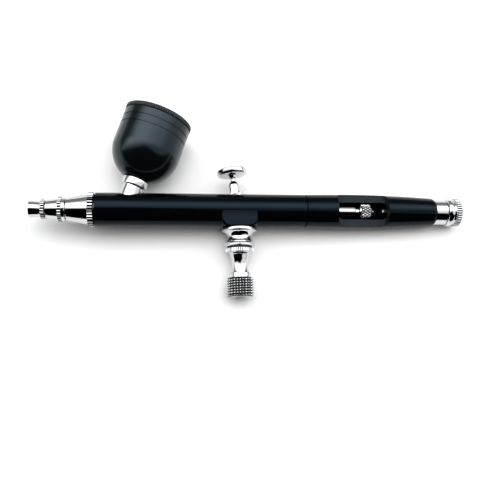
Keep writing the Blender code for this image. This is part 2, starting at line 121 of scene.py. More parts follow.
VALVE_TOP = BOSS_BOTTOM - GAP
VALVE_BOTTOM = -13.3
THREAD_R = 4.864
THREAD = (-24.6, -31.2)
THREAD_PITCH = 0.907
THREAD_DEPTH = 0.56
FLUTES = 26
FLUTE_DEPTH = 0.5

# Surroundings: the sheet behind the airbrush (its Y on the axis, its rise along X and Z,
# its reach and its near edge), the soft box, the sun and the camera
TABLE_Y = 8.52
TABLE_RISE_X = -0.0387
TABLE_RISE_Z = 0.1134
TABLE_REACH = 900.0
TABLE_NEAR = 115.0
BOX_STRENGTH = 3.6
KEY_STRENGTH = 1.35
KEY_ANGLE = math.radians(40.0)
CAMERA_LENS = 42.98
CAMERA_PLACE = (-0.025767, -0.20508, -0.047139)
CAMERA_TURN = (1.73664, 0.021, -0.13088)

CHROME_TONE = (0.64, 0.645, 0.655)
CREST_TONE = (0.034, 0.037, 0.040)

ALONG_X = Matrix.Rotation(math.radians(90.0), 4, "Y")
ALONG_Z = Matrix.Identity(4)
CUP_FRAME = Matrix.Translation((CUP_ROOT, 0.0, 0.0)) @ Matrix.Rotation(CUP_TILT, 4, "Y")
TRIGGER_FRAME = Matrix.Translation((0.0, 0.0, PIVOT_Z)) @ Matrix.Rotation(-TRIGGER_LEAN, 4, "Y")


# ---------------------------------------------------------------- materials

def new_material(name, colour, metallic, roughness):
    made = bpy.data.materials.new(name)
    made.use_nodes = True
    shader = made.node_tree.nodes["Principled BSDF"]
    shader.inputs["Base Color"].default_value = (*colour, 1.0)
    shader.inputs["Metallic"].default_value = metallic
    shader.inputs["Roughness"].default_value = roughness
    return made, made.node_tree, shader


def add_node(tree, kind, **inputs):
    node = tree.nodes.new(kind)
    for key, value in inputs.items():
        node.inputs[key.replace("_", " ")].default_value = value
    return node


def noise(tree, scale, detail=2.0, stretch=None):
    """Noise on the piece's own coordinates, in metres, optionally stretched."""
    coords = tree.nodes.new("ShaderNodeTexCoord")
    mapping = tree.nodes.new("ShaderNodeMapping")
    mapping.inputs["Scale"].default_value = stretch or (1.0, 1.0, 1.0)
    made = add_node(tree, "ShaderNodeTexNoise", Scale=scale, Detail=detail)
    tree.links.new(coords.outputs["Object"], mapping.inputs["Vector"])
    tree.links.new(mapping.outputs["Vector"], made.inputs["Vector"])
    return made.outputs["Fac"]


def spread(tree, value, low, high, start=0.3, end=0.7):
    """Maps a value between start and end onto the range from low to high."""
    made = add_node(tree, "ShaderNodeMapRange")
    made.inputs["From Min"].default_value = start
    made.inputs["From Max"].default_value = end
    made.inputs["To Min"].default_value = low
    made.inputs["To Max"].default_value = high
    tree.links.new(value, made.inputs["Value"])
    return made.outputs["Result"]


def bump(tree, shader, height, strength, distance):
    made = add_node(tree, "ShaderNodeBump", Strength=strength, Distance=distance)
    tree.links.new(height, made.inputs["Height"])
    tree.links.new(made.outputs["Normal"], shader.inputs["Normal"])


def paint_groove_shade(tree, shader, bright, dark):
    """Paints shade into a surface's colour: darker towards the bottom of its knurls and threads."""
    depth = tree.nodes.new("ShaderNodeAttribute")
    depth.attribute_name = "depth"
    blend = tree.nodes.new("ShaderNodeMix")
    blend.data_type = "RGBA"
    factor, first, second = blend.inputs[0], blend.inputs[6], blend.inputs[7]
    first.default_value = (*bright, 1.0)
    second.default_value = (*dark, 1.0)
    tree.links.new(spread(tree, depth.outputs["Fac"], 0.0, 1.0, 0.1, 0.75), factor)
    tree.links.new(blend.outputs[2], shader.inputs["Base Color"])


def chrome_material():
    made, tree, shader = new_material("chrome", CHROME_TONE, 1.0, 0.06)
    # painted shade: the chrome's colour goes near-black towards the bottom of its knurls and threads
    paint_groove_shade(tree, shader, CHROME_TONE, (0.02, 0.02, 0.022))
    tree.links.new(spread(tree, noise(tree, 900.0), 0.035, 0.10), shader.inputs["Roughness"])
    bump(tree, shader, noise(tree, 160.0, 1.0), 0.25, 0.00003)
    return made


def steel_material():
    made, tree, shader = new_material("ground_steel", (0.34, 0.34, 0.35), 1.0, 0.25)
    grain = noise(tree, 600.0, 4.0, (0.1, 1.0, 1.0))
    tree.links.new(spread(tree, grain, 0.18, 0.34), shader.inputs["Roughness"])
    return made


def brass_material():
    made, tree, shader = new_material("brass", (0.78, 0.56, 0.25), 1.0, 0.25)
    tree.links.new(spread(tree, noise(tree, 800.0), 0.18, 0.32), shader.inputs["Roughness"])
    return made


def black_material():
    made, tree, shader = new_material("gloss_black", (0.0006, 0.0008, 0.0012), 0.0, 0.12)
    shader.inputs["Specular IOR Level"].default_value = 0.13
    shader.inputs["Specular Tint"].default_value = (0.46, 0.74, 1.0, 1.0)
    tree.links.new(spread(tree, noise(tree, 500.0, 3.0), 0.07, 0.12), shader.inputs["Roughness"])
    bump(tree, shader, noise(tree, 2600.0, 2.0), 0.10, 0.00001)
    return made


def cup_material():
    made, tree, shader = new_material("satin_black", (0.0015, 0.002, 0.0025), 0.0, 0.3)
    shader.inputs["Specular IOR Level"].default_value = 0.36
    shader.inputs["Specular Tint"].default_value = (0.66, 0.88, 1.0, 1.0)
    tree.links.new(spread(tree, noise(tree, 400.0, 3.0), 0.16, 0.22), shader.inputs["Roughness"])
    bump(tree, shader, noise(tree, 5000.0, 2.0), 0.12, 0.00001)
    return made


def edged_material():
    """The lid's knurled edge: dark grey, with painted shade turning it black in the grooves."""
    made, tree, shader = new_material("edged_black", CREST_TONE, 0.0, 0.25)
    # painted shade: near-black towards the bottom of the knurl grooves
    paint_groove_shade(tree, shader, CREST_TONE, (0.0006, 0.0008, 0.001))
    shader.inputs["Specular IOR Level"].default_value = 0.1
    shader.inputs["Specular Tint"].default_value = (0.80, 0.93, 1.0, 1.0)
    tree.links.new(spread(tree, noise(tree, 400.0, 3.0), 0.21, 0.28), shader.inputs["Roughness"])
    return made


def milled_material():
    """The cut faces of the handle's window: satin, with fine crossed cutter marks."""
    made, tree, shader = new_material("milled_black", (0.007, 0.0085, 0.010), 0.0, 0.33)
    shader.inputs["Specular IOR Level"].default_value = 0.22
    shader.inputs["Specular Tint"].default_value = (0.66, 0.86, 1.0, 1.0)
    coords = tree.nodes.new("ShaderNodeTexCoord")
    heights = []
    for slant in (35.0, -35.0):
        mapping = tree.nodes.new("ShaderNodeMapping")
        mapping.inputs["Rotation"].default_value = (0.0, math.radians(slant), 0.0)
        wave = add_node(tree, "ShaderNodeTexWave", Scale=900.0, Distortion=1.5, Detail=2.0)
        tree.links.new(coords.outputs["Object"], mapping.inputs["Vector"])
        tree.links.new(mapping.outputs["Vector"], wave.inputs["Vector"])
        heights.append(wave.outputs["Fac"])
    both = tree.nodes.new("ShaderNodeMath")
    both.operation = "ADD"
    tree.links.new(heights[0], both.inputs[0])
    tree.links.new(heights[1], both.inputs[1])
    bump(tree, shader, both.outputs[0], 0.8, 0.00006)
    return made


def plain_material(name, colour, roughness):
    made, tree, shader = new_material(name, colour, 0.0, roughness)
    uneven = spread(tree, noise(tree, 700.0), roughness - 0.08, roughness + 0.08)
    tree.links.new(uneven, shader.inputs["Roughness"])
    return made


CHROME = chrome_material()
STEEL = steel_material()
BRASS = brass_material()
BLACK = black_material()
SATIN = cup_material()
EDGED = edged_material()
MILLED = milled_material()
PTFE = plain_material("white_ptfe", (0.80, 0.80, 0.77), 0.5)
RUBBER = plain_material("black_rubber", (0.012, 0.012, 0.012), 0.65)


# ---------------------------------------------------------------- meshes

def softened(points, closed=True, radius=0.12, parts=3):
    """Rounds the corners of a profile. A point may carry its own radius as a third number."""
    count = len(points)
    out = []
    for i, point in enumerate(points):
        here = np.array(point[:2], float)
        own = point[2] if len(point) > 2 else radius
        if own == 0 or (not closed and i in (0, count - 1)):
            out.append(tuple(here))
            continue
        before = np.array(points[i - 1][:2], float) - here
        after = np.array(points[(i + 1) % count][:2], float) - here
        a, b = np.linalg.norm(before), np.linalg.norm(after)
        cosine = float(np.clip(before @ after / (a * b), -1.0, 1.0))
        turn = math.pi - math.acos(cosine)
        if turn < math.radians(12.0):
            out.append(tuple(here))
            continue
        reach = min(own * math.tan(turn / 2), 0.45 * a, 0.45 * b)
        start, end = here + before / a * reach, here + after / b * reach
        for k in range(parts + 1):
            t = k / parts
            spot = (1 - t) ** 2 * start + 2 * t * (1 - t) * here + t ** 2 * end
            out.append(tuple(spot))
    return out


def arc(centre, radius, start, end, count):
    """Points of an arc; angles in degrees. They carry radius 0, so they aren't rounded again."""
    points = []
    for i in range(count + 1):
        angle = math.radians(start + (end - start) * i / count)
        points.append((centre[0] + radius * math.cos(angle), centre[1] + radius * math.sin(angle), 0))
    return points


def spun(points, shape, steps=144, relief=None):
    """A profile of (height, radius) points turned round its axis, as (vertices, faces, depths).

    relief(height, angle) is added to the radius. The depths say how far below the crests each
    vertex lies, from 0 on the crests to 1 in the deepest groove.
    """
    is_open = points[0][1] == 0 and points[-1][1] == 0
    verts, rows, faces, reliefs = [], [], [], []
    for height, radius in points:
        if radius == 0:
            rows.append([len(verts)])
            verts.append((0.0, 0.0, height))
            reliefs.append(0.0)
            continue
        row = []
        for k in range(steps):
            angle = TAU * k / steps
            sunk = -relief(height, angle) if relief else 0.0
            reach = radius - sunk
            reliefs.append(sunk)
            row.append(len(verts))
            verts.append((reach * math.cos(angle), reach * math.sin(angle), height))
        rows.append(row)
    pairs = list(zip(rows, rows[1:]))
    if not is_open:
        pairs.append((rows[-1], rows[0]))
    for low, high in pairs:
        for k in range(steps):
            after = (k + 1) % steps
            if len(low) == 1:
                faces.append((low[0], high[k], high[after]))
            elif len(high) == 1:
                faces.append((low[k], high[0], low[after]))
            else:
                faces.append((low[k], high[k], high[after], low[after]))
    deepest = max(max(reliefs), 0.001)
    return [shape @ Vector(v) for v in verts], faces, [value / deepest for value in reliefs]


def extruded(outline, half_width, shape):
    """An outline in the XZ plane, extruded to both sides along Y."""
    count = len(outline)
    verts = [(x, side * half_width, z) for side in (-1, 1) for x, z in outline]
    faces = [tuple(range(count)), tuple(range(2 * count - 1, count - 1, -1))]
    for i in range(count):
        after = (i + 1) % count
        faces.append((i, after, after + count, i + count))
    return [shape @ Vector(v) for v in verts], faces


def mesh_object(name, parts, material=None, sharp=35.0):
    """One object from (vertices, faces) or (vertices, faces, depths) lists in millimetres."""
    verts, faces, depths = [], [], []
    for some_verts, some_faces, *rest in parts:
        start = len(verts)
        verts += [tuple(v * MM) for v in some_verts]
        faces += [tuple(start + i for i in face) for face in some_faces]
        depths += rest[0] if rest else [0.0] * len(some_verts)
    mesh = bpy.data.meshes.new(name)
    mesh.from_pydata(verts, [], faces)
    bm = bmesh.new()
    bm.from_mesh(mesh)
    bmesh.ops.recalc_face_normals(bm, faces=bm.faces)
    bm.to_mesh(mesh)
    bm.free()
    # the depth attribute steers the painted shade in the grooves of knurls and threads
    mesh.attributes.new("depth", "FLOAT", "POINT").data.foreach_set("value", depths)
    finish_shading(mesh, sharp)
    if material is not None:
        mesh.materials.append(material)
    made = bpy.data.objects.new(name, mesh)
    bpy.context.scene.collection.objects.link(made)
    return made


def finish_shading(mesh, sharp=35.0):
    mesh.shade_smooth()
    mesh.set_sharp_from_angle(angle=math.radians(sharp))


def weighted(made):
    """Keeps flat faces flat next to rounded edges."""
    step = made.modifiers.new("weighted", "WEIGHTED_NORMAL")
    step.keep_sharp = True
    step.weight = 60
    return made


def place(made, body, slot, *nodes):
    """Puts a finished piece on its CAD body, in place of its CAD node."""
    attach(made, body)
    if nodes:
        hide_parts(*nodes)
    return made


def cut(made, tools, operation="DIFFERENCE"):
    for tool in tools:
        step = made.modifiers.new(tool.name, "BOOLEAN")
        step.operation = operation
        step.solver = "EXACT"
        step.object = tool


def baked(made, tools):
    """Applies the cuts and removes the cutters."""
    bpy.context.view_layer.update()
    shaped = bpy.data.meshes.new_from_object(made.evaluated_get(bpy.context.evaluated_depsgraph_get()))
    made.modifiers.clear()
    made.data = shaped
    for tool in tools:
        bpy.data.objects.remove(tool, do_unlink=True)
    return made


def eased(made, width, parts=3, angle=32.0):
    """Rounds the edges that the cuts left."""
    step = made.modifiers.new("eased", "BEVEL")
    step.width = width * MM
    step.segments = parts
    step.limit_method = "ANGLE"
    step.angle_limit = math.radians(angle)
    step.use_clamp_overlap = True
    step.harden_normals = False
    return made


# ---------------------------------------------------------------- knurls and threads

def fraction(value):
    return value - math.floor(value)


def groove(value, width):
    """1 in the middle of a V groove, 0 on the land; value counts grooves."""
    return max(0.0, 1.0 - abs(fraction(value) - 0.5) / (width / 2))


def straight_knurl(low, high, radius, count, depth, shape, width=0.5, bevel=0.25, inner=None, fine=8):
    """A ring with straight teeth and bevelled ends."""
    inner = radius - 1.2 if inner is None else inner

    def teeth(height, angle):
        on_teeth = low + 0.6 * bevel < height < high - 0.6 * bevel
        return -depth * groove(angle * count / TAU, width) if on_teeth else 0.0

    points = [(low, inner), (low, radius - depth - bevel), (low + bevel, radius), (high - bevel, radius),
              (high, radius - depth - bevel), (high, inner)]
    return spun(points, shape, count * fine, teeth)


def diamond_knurl(low, high, radius, count, depth, shape, inner, bevel=0.35):
    """A ring with crossed slanting grooves."""
    pitch = TAU * radius / count
    rows = max(2, int((high - low - 2 * bevel) / pitch * 8))
    heights = [low + bevel + (high - low - 2 * bevel) * i / rows for i in range(rows + 1)]

    def crossed(height, angle):
        if not heights[0] - 0.001 <= height <= heights[-1] + 0.001:
            return 0.0
        along = height / (pitch * 1.5)
        around = angle * count / TAU
        return -depth * max(groove(around + along, 0.55), groove(around - along, 0.55))

    points = [(low, inner), (low, radius - depth - bevel)] + [(h, radius) for h in heights]
    points += [(high, radius - depth - bevel), (high, inner)]
    return spun(points, shape, count * 8, crossed)


def screw_thread(low, high, radius, pitch, depth, inner, shape, steps=208):
    """A right-handed V thread with flattened crests, run out at both ends and fluted along."""
    rows = int((high - low) / pitch * 12)
    heights = [low + (high - low) * i / rows for i in range(rows + 1)]

    def helix(height, angle):
        if not low - 0.001 <= height <= high + 0.001:
            return 0.0
        t = abs(fraction(height / pitch - angle / TAU) - 0.5) * 2
        cutaway = min(1.0, max(0.0, (t - 0.15) / 0.7))
        edge = min(height - low, high - height) / (0.6 * pitch)
        flutes = FLUTE_DEPTH * groove(angle * FLUTES / TAU, 0.9)
        return -max(depth * max(cutaway, 1.0 - min(1.0, max(0.0, edge))), flutes)

    points = [(low, inner)] + [(h, radius) for h in heights] + [(high, inner)]
    return spun(points, shape, steps, helix)


# ---------------------------------------------------------------- barrel

def rounded_block(sections):
    """A block along Z from stacked rounded rectangles: (height, half length, half width, corner)."""
    verts, faces, loops = [], [], []
    for height, half_x, half_y, corner in sections:
        loop = []
        for turn, side_x, side_y in ((0, 1, 1), (90, -1, 1), (180, -1, -1), (270, 1, -1)):
            centre = (BOSS_X + side_x * (half_x - corner), side_y * (half_y - corner))
            for x, y, _ in arc(centre, corner, turn, turn + 90, 8):
                loop.append(len(verts))
                verts.append(Vector((x, y, height)))
        loops.append(loop)
    for low, high in zip(loops, loops[1:]):
        for i, vert in enumerate(low):
            after = (i + 1) % len(low)
            faces.append((vert, low[after], high[after], high[i]))
    faces += [tuple(reversed(loops[0])), tuple(loops[-1])]
    return verts, faces


def box_mesh(low, high):
    outline = [(low[0], low[2]), (high[0], low[2]), (high[0], high[2]), (low[0], high[2])]
    middle = Matrix.Translation((0.0, (low[1] + high[1]) / 2, 0.0))
    return extruded(outline, (high[1] - low[1]) / 2, middle)


def make_barrel():
    outer = [(BARREL_FRONT, 0), (BARREL_FRONT, BARREL_R_FRONT, 0.45), (BARREL_REAR, BARREL_R_REAR, 0.15),
             (BARREL_REAR, 0)]
    rows = softened(outer, False)
    barrel = mesh_object("barrel_body", [spun(rows, ALONG_X, 160)], BLACK)
    foot, flat = BOSS_BOTTOM, FLAT_Y
    sections = [(foot, 6.1, flat - 0.15, 2.5), (foot + 0.15, 6.2, flat, 2.4), (foot + 0.7, 6.35, flat, 1.3),
                (foot + 1.9, 6.42, flat, 0.8), (-3.2, BOSS_HALF, flat, 0.5), (0.4, BOSS_HALF, flat, 0.5)]
    boss = mesh_object("boss_tool", [rounded_block(sections)])
    cut(barrel, [boss], "UNION")
    front = BARREL_FRONT + SOCKET_DEPTH
    rear = 17.5
    core = [(BARREL_FRONT - 1, 0), (BARREL_FRONT - 1, SOCKET_R), (front, SOCKET_R), (front, 2.0),
            (-33.0, 2.0), (-33.0, 1.1), (-31.5, 1.1), (-31.5, 2.5), (-5.0, 2.5), (-5.0, 3.6), (rear, 3.6),
            (rear, SOCKET_R), (BARREL_REAR + 1, SOCKET_R), (BARREL_REAR + 1, 0)]
    valve_bore = [(-9.0, 0), (-9.0, 3.2), (-1.0, 3.2), (-1.0, 0)]
    neck_bore = [(3.4, 0), (3.4, 3.95), (20.0, 3.95), (20.0, 0)]
    seam = Matrix.Rotation(math.radians(1.3), 4, "Z")
    slot_front, slot_rear, slot_r = -3.9, 9.0, 2.1
    slot_end = arc((slot_rear - slot_r, 0.0), slot_r, -90.0, 90.0, 16)
    slot_start = arc((slot_front + slot_r, 0.0), slot_r, 90.0, 270.0, 16)
    slot_outline = [(x, y) for x, y, _ in slot_end + slot_start]
    upright = Matrix.Translation((0.0, 0.0, 11.0)) @ Matrix.Rotation(math.radians(-90.0), 4, "X")
    tools = [
        mesh_object("slot_tool", [extruded(slot_outline, 10.0, upright)]),
        mesh_object("valve_tool", [spun(valve_bore, seam, 96)]),
        mesh_object("neck_tool", [spun(neck_bore, CUP_FRAME @ seam, 96)]),
        mesh_object("core_tool", [spun(core, ALONG_X @ seam, 96)]),
    ]
    cut(barrel, tools)
    baked(barrel, [boss] + tools)
    finish_shading(barrel.data, 32.0)
    eased(barrel, 0.16, 3, 40.0)
    weighted(barrel)
    return place(barrel, "airbrush_body", "black_anodised", "barrel")


# ---------------------------------------------------------------- spray head

def make_head():
    spigot = HEAD_REAR + SOCKET_DEPTH - 1.3
    ring = HEAD_REAR - 2.1
    outer = [(HEAD_FRONT - 2.5, 3.3), (HEAD_FRONT, 3.3), (HEAD_FRONT, 4.1, 0.25), (ring - 0.1, 5.42, 0.1),
             (ring + 0.15, 5.5, 0), (HEAD_REAR - 0.2, 5.5, 0), (HEAD_REAR, 5.3, 0),
             (HEAD_REAR, SOCKET_R - GAP), (spigot, SOCKET_R - GAP)]
    inner = [(spigot, 2.6), (HEAD_FRONT + 4.0, 2.6), (HEAD_FRONT + 4.0, 1.9), (HEAD_FRONT - 2.5, 1.9)]
    body = spun(softened(outer + inner), ALONG_X)
    teeth = straight_knurl(ring, HEAD_REAR, RING_R, 34, 0.4, ALONG_X, 0.66, 0.16, 4.6)
    made = weighted(mesh_object("head", [body, teeth], CHROME))
    return place(made, "airbrush_body", "chrome", "head_body")


def make_nozzle():
    rear = HEAD_FRONT + 3.6
    seat = HEAD_FRONT - 2.5
    outer = [(NOZZLE_TIP, 0.62, 0.05), (NOZZLE_TIP + 1.3, 0.8), (seat - 1.5, 2.3), (seat - 1.3, 2.7),
             (seat - GAP, 2.7), (seat - GAP, 1.6), (rear, 1.6)]
    inner = [(rear, 1.1), (NOZZLE_TIP + 3.7, 1.1), (NOZZLE_TIP, 0.35, 0)]
    made = weighted(mesh_object("nozzle", [spun(softened(outer + inner), ALONG_X, 64)], BRASS))
    return place(made, "airbrush_body", "brass", "fluid_nozzle")


def make_nozzle_cap():
    front = NOZZLE_CAP_FRONT
    ring = (front + 4.0, front + 5.4)
    rear = NOZZLE_CAP_REAR
    outer = [(front - 1.6, 2.3), (front, 2.3), (front, 3.3, 0.2), (ring[0], 3.92, 0.05),
             (ring[0] + 0.1, 4.0, 0), (ring[1] - 0.1, 4.0, 0), (ring[1] + 0.05, 4.22, 0.1), (rear, 4.22, 0.2)]
    inner = [(rear, 3.6), (front + 2.9, 3.6), (front + 2.6, 3.0), (front - 1.1, 1.25), (front - 1.6, 1.25)]
    body = spun(softened(outer + inner), ALONG_X)
    teeth = straight_knurl(ring[0], ring[1], 4.5, 26, 0.32, ALONG_X, 0.64, 0.13, 3.8)
    made = weighted(mesh_object("air_cap", [body, teeth], CHROME))
    return place(made, "airbrush_body", "chrome", "nozzle_cap")


def make_needle_cap():
    front = NEEDLE_CAP_FRONT
    ring = (front + 3.9, NEEDLE_CAP_REAR)
    flare = [(front, 3.05, 0.15), (front + 0.6, 3.0, 0), (front + 1.5, 2.9, 0), (front + 2.6, 2.85, 0),
             (front + 3.8, 2.86, 0)]
    outer = flare + [(ring[0] + 0.1, 2.95, 0), (ring[1], 2.95)]
    inner = [(ring[1], 2.6), (front + 3.8, 2.6), (front + 3.8, 1.5), (front + 2.4, 1.6, 0.4),
             (front + 1.0, 2.1, 0.4), (front, 2.6, 0.1)]
    body = spun(softened(outer + inner), ALONG_X)
    teeth = straight_knurl(ring[0], ring[1], 3.4, 20, 0.28, ALONG_X, 0.64, 0.12, 2.7)
    made = weighted(mesh_object("crown_cap", [body, teeth], CHROME))
    return place(made, "needle_cap", "chrome", "needle_cap")


# ---------------------------------------------------------------- paint cup

def make_cup_neck():
    seat = COLLAR[0] - 1.0
    outer = [(3.7, 3.75), (COLLAR[0], 3.65, 0.3), (COLLAR[0], COLLAR_R, 0.2), (COLLAR[1], COLLAR_R, 0.2)]
    inner = [(COLLAR[1], 3.4), (seat, 3.4), (seat, 2.1), (3.7, 2.1)]
    made = weighted(mesh_object("cup_foot", [spun(softened(outer + inner), CUP_FRAME)], CHROME))
    return place(made, "airbrush_body", "chrome", "cup_neck")


def score(height, width=0.40, depth=0.22):
    """A scored line round the cup, as profile points."""
    return [(height - width / 2, CUP_R, 0), (height - width / 4, CUP_R - depth, 0),
            (height + width / 4, CUP_R - depth, 0), (height + width / 2, CUP_R, 0)]


def make_cup_bowl():
    low = COLLAR[1] + GAP
    inner_r = CUP_R - CUP_WALL
    first = math.degrees(math.asin((low - CUP_BALL) / CUP_R))
    inner_low = CUP_BALL - math.sqrt(inner_r ** 2 - 2.2 ** 2)
    last = math.degrees(math.asin((inner_low - CUP_BALL) / inner_r))
    ball = [(CUP_BALL + h, r, 0) for r, h, _ in arc((0.0, 0.0), CUP_R, first, 0.0, 28)]
    hollow = [(CUP_BALL + h, r, 0) for r, h, _ in arc((0.0, 0.0), inner_r, 0.0, last, 24)]
    wall = score(CUP_TOP - 5.55) + score(CUP_TOP - 2.85)
    lip_r, lip_top = LID_R - 0.7, LID_TOP - 1.0
    rim = [(CUP_TOP, CUP_R, 0.15), (CUP_TOP, lip_r), (lip_top, lip_r), (lip_top, inner_r)]
    foot = COLLAR[0] + 0.3
    spigot = [(foot, 2.2), (foot, 3.1), (low, 3.1)]
    made = mesh_object("cup", [spun(softened(ball + wall + rim + hollow + spigot), CUP_FRAME, 192)], SATIN)
    return place(weighted(made), "airbrush_body", "black_anodised", "cup_bowl")


def make_cup_lid():
    skirt_in = LID_R - 0.7 + GAP
    low = CUP_TOP + GAP
    top, under = LID_TOP, LID_TOP - 0.7
    boss_top = LID_TOP + 0.4
    profile = [(low, skirt_in), (low, LID_R - 0.25), (top - 0.3, LID_R - 0.25, 0),
               (top - 0.05, LID_R - 0.5, 0.1), (top, LID_R - 0.9, 0.1), (top, 4.0, 0.5),
               (boss_top, 3.6, 0.3), (boss_top, 0.9, 0.15), (under, 0.9), (under, skirt_in)]
    body = spun(softened(profile), CUP_FRAME, 144)
    teeth = straight_knurl(low + 0.02, LID_TOP - 0.12, LID_R, 84, 0.28, CUP_FRAME, 0.6, 0.12, 11.7, 6)
    made = weighted(mesh_object("cup_cover", [body, teeth], EDGED))
    return place(made, "cup_lid", "black_anodised", "cup_lid")


# ---------------------------------------------------------------- needle group

def make_needle():
    tip, tail = NEEDLE_TIP, NEEDLE_TAIL
    profile = [(tip, 0), (tip, 0.06, 0.02), (tip + 3.0, 0.32, 0), (tip + 7.0, 0.6, 0),
               (tail - 0.3, 0.6, 0.1), (tail, 0.4, 0.1), (tail, 0)]
    made = weighted(mesh_object("fluid_needle", [spun(softened(profile, False), ALONG_X, 32)], STEEL))
    return place(made, "needle_carriage", "steel", "needle")


def make_needle_guide():
    front, rear, end = GUIDE_FRONT, GUIDE_REAR, COLLET_REAR
    outer = [(front, 2.9), (front + 1.5, 2.9), (front + 1.5, GUIDE_R), (rear - 0.3, GUIDE_R, 0),
             (rear, 1.8, 0.1), (rear, 1.45), (end - 1.0, 1.45), (end, 1.1)]
    inner = [(end, 0.75), (front, 0.75)]
    made = weighted(mesh_object("guide_tube", [spun(softened(outer + inner), ALONG_X, 96)], CHROME))
    return place(made, "needle_carriage", "chrome", "needle_guide")


def make_chuck_nut():
    low, high = CHUCK
    outer = [(low, 2.3, 0.15), (low + 0.45, 2.5, 0.1), (high - 0.5, 2.5, 0.1), (high, 2.2, 0.2)]
    inner = [(high, 0.9), (high - 1.2, 0.9), (high - 1.9, 1.75), (low, 1.75)]
    body = spun(softened(outer + inner), ALONG_X, 96)
    teeth = diamond_knurl(low + 0.35, high - 0.45, CHUCK_R, 17, 0.34, ALONG_X, 2.2, 0.2)
    made = weighted(mesh_object("needle_nut", [body, teeth], CHROME))
    return place(made, "chuck_nut", "chrome", "chuck_nut")


def make_spring_case():
    collar = BARREL_REAR - SOCKET_DEPTH - 0.7
    low, high = SPRING_CASE
    radius, bore = SPRING_CASE_R, SPRING_CASE_BORE
    outer = [(low, radius), (collar, radius), (collar, SOCKET_R - GAP), (collar + 1.8, SOCKET_R - GAP),
             (collar + 1.8, radius), (high, radius, 0.25)]
    inner = [(high, GUIDE_R + GAP), (high - 1.2, GUIDE_R + GAP), (high - 1.2, bore), (low, bore)]
    made = weighted(mesh_object("spring_tube", [spun(softened(outer + inner), ALONG_X, 96)], CHROME))
    return place(made, "airbrush_body", "chrome", "spring_case")


def coil_mesh(radius, wire, start, end, turns, shape, per_turn=28, sides=8):
    """A round wire on a helix, with closed ends."""
    count = turns * per_turn
    up = Vector((0.0, 0.0, 1.0))
    verts, faces = [], []
    for i in range(count + 1):
        angle = TAU * i / per_turn
        height = start + (end - start) * i / count
        centre = Vector((radius * math.cos(angle), radius * math.sin(angle), height))
        out = Vector((math.cos(angle), math.sin(angle), 0.0))
        for k in range(sides):
            turn = TAU * k / sides
            verts.append(shape @ (centre + wire * (math.cos(turn) * out + math.sin(turn) * up)))
    for i in range(count):
        for k in range(sides):
            a, b = i * sides + k, i * sides + (k + 1) % sides
            faces.append((a, b, b + sides, a + sides))
    faces.append(tuple(range(sides)))
    faces.append(tuple(count * sides + k for k in reversed(range(sides))))
    return verts, faces


def make_springs():
    pull = mesh_object("return_spring", [coil_mesh(2.46, 0.2, 6.05, 34.1, 11, ALONG_X)], STEEL)
    place(pull, "airbrush_body", "steel", "needle_spring")
    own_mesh(pull)
    air = mesh_object("air_spring", [coil_mesh(1.5, 0.2, -16.9, -23.8, 5, ALONG_Z)], STEEL)
    place(air, "airbrush_body", "steel", "valve_spring")
    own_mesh(air)


# ---------------------------------------------------------------- handle and stop

def bulged(low, high, start_r, middle, middle_r, end_r, count=20):
    """A profile through three radii, smooth in the middle."""
    points = []
    for i in range(count + 1):
        x = low + (high - low) * i / count
        if x < middle:
            t = (middle - x) / (middle - low)
            points.append((x, middle_r - (middle_r - start_r) * t ** 2, 0))
        else:
            t = (x - middle) / (high - middle)
            points.append((x, middle_r - (middle_r - end_r) * t ** 2, 0))
    return points


def window_tool(name):
    """A milling cut into the left side, flat in the middle and curving out at both ends."""
    low, high = WINDOW
    start = arc((low, STRIP_Y + RUN_OUT_FRONT), RUN_OUT_FRONT, 180.0, 270.0, 20)
    end = arc((high, STRIP_Y + RUN_OUT_REAR), RUN_OUT_REAR, 270.0, 360.0, 16)
    sides = [(x, y) for x, y, _ in start + end]
    reach = 12.0
    outline = [(low - RUN_OUT_FRONT, reach)] + sides + [(high + RUN_OUT_REAR, reach)]
    across = Matrix.Rotation(math.radians(90.0), 4, "X")
    return mesh_object(name, [extruded(outline, reach, across)], MILLED, 50.0)


def make_handle():
    spigot = HANDLE_FRONT - 4.2
    tail = HANDLE_REAR
    outer = [(spigot, HANDLE_BORE_R), (spigot, SOCKET_R - GAP), (HANDLE_FRONT, SOCKET_R - GAP),
             (HANDLE_FRONT, 6.09, 0.15)]
    skin = bulged(HANDLE_FRONT + 0.4, tail - 0.9, 6.1, 41.0, 6.28, 5.28)
    end = [(tail - 0.55, 5.22, 0), (tail - 0.25, 5.11, 0), (tail - 0.08, 4.97, 0), (tail, 4.8, 0.05)]
    profile = outer + skin + end + [(tail, HANDLE_BORE_R)]
    handle = mesh_object("grip_handle", [spun(softened(profile), ALONG_X, 160)], BLACK)
    handle.data.materials.append(MILLED)
    tools = [window_tool("window_tool")]
    cut(handle, tools)
    baked(handle, tools)
    finish_shading(handle.data, 32.0)
    eased(handle, 0.18, 3, 30.0)
    weighted(handle)
    return place(handle, "airbrush_body", "black_anodised", "handle")


def make_tail_sleeve():
    low, high = TAIL_SLEEVE
    inside = low - 9.0
    bore = STOP_BORE
    outer = [(inside, 3.2), (low, 3.2), (low, TAIL_SLEEVE_R, 0.1), (high, TAIL_SLEEVE_R, 0.15)]
    inner = [(high, bore), (inside + 5.9, bore), (inside + 5.9, 2.4), (inside + 4.5, 2.4),
             (inside + 4.5, bore), (inside, bore)]
    made = weighted(mesh_object("end_sleeve", [spun(softened(outer + inner), ALONG_X)], CHROME))
    return place(made, "airbrush_body", "chrome", "tail_sleeve")


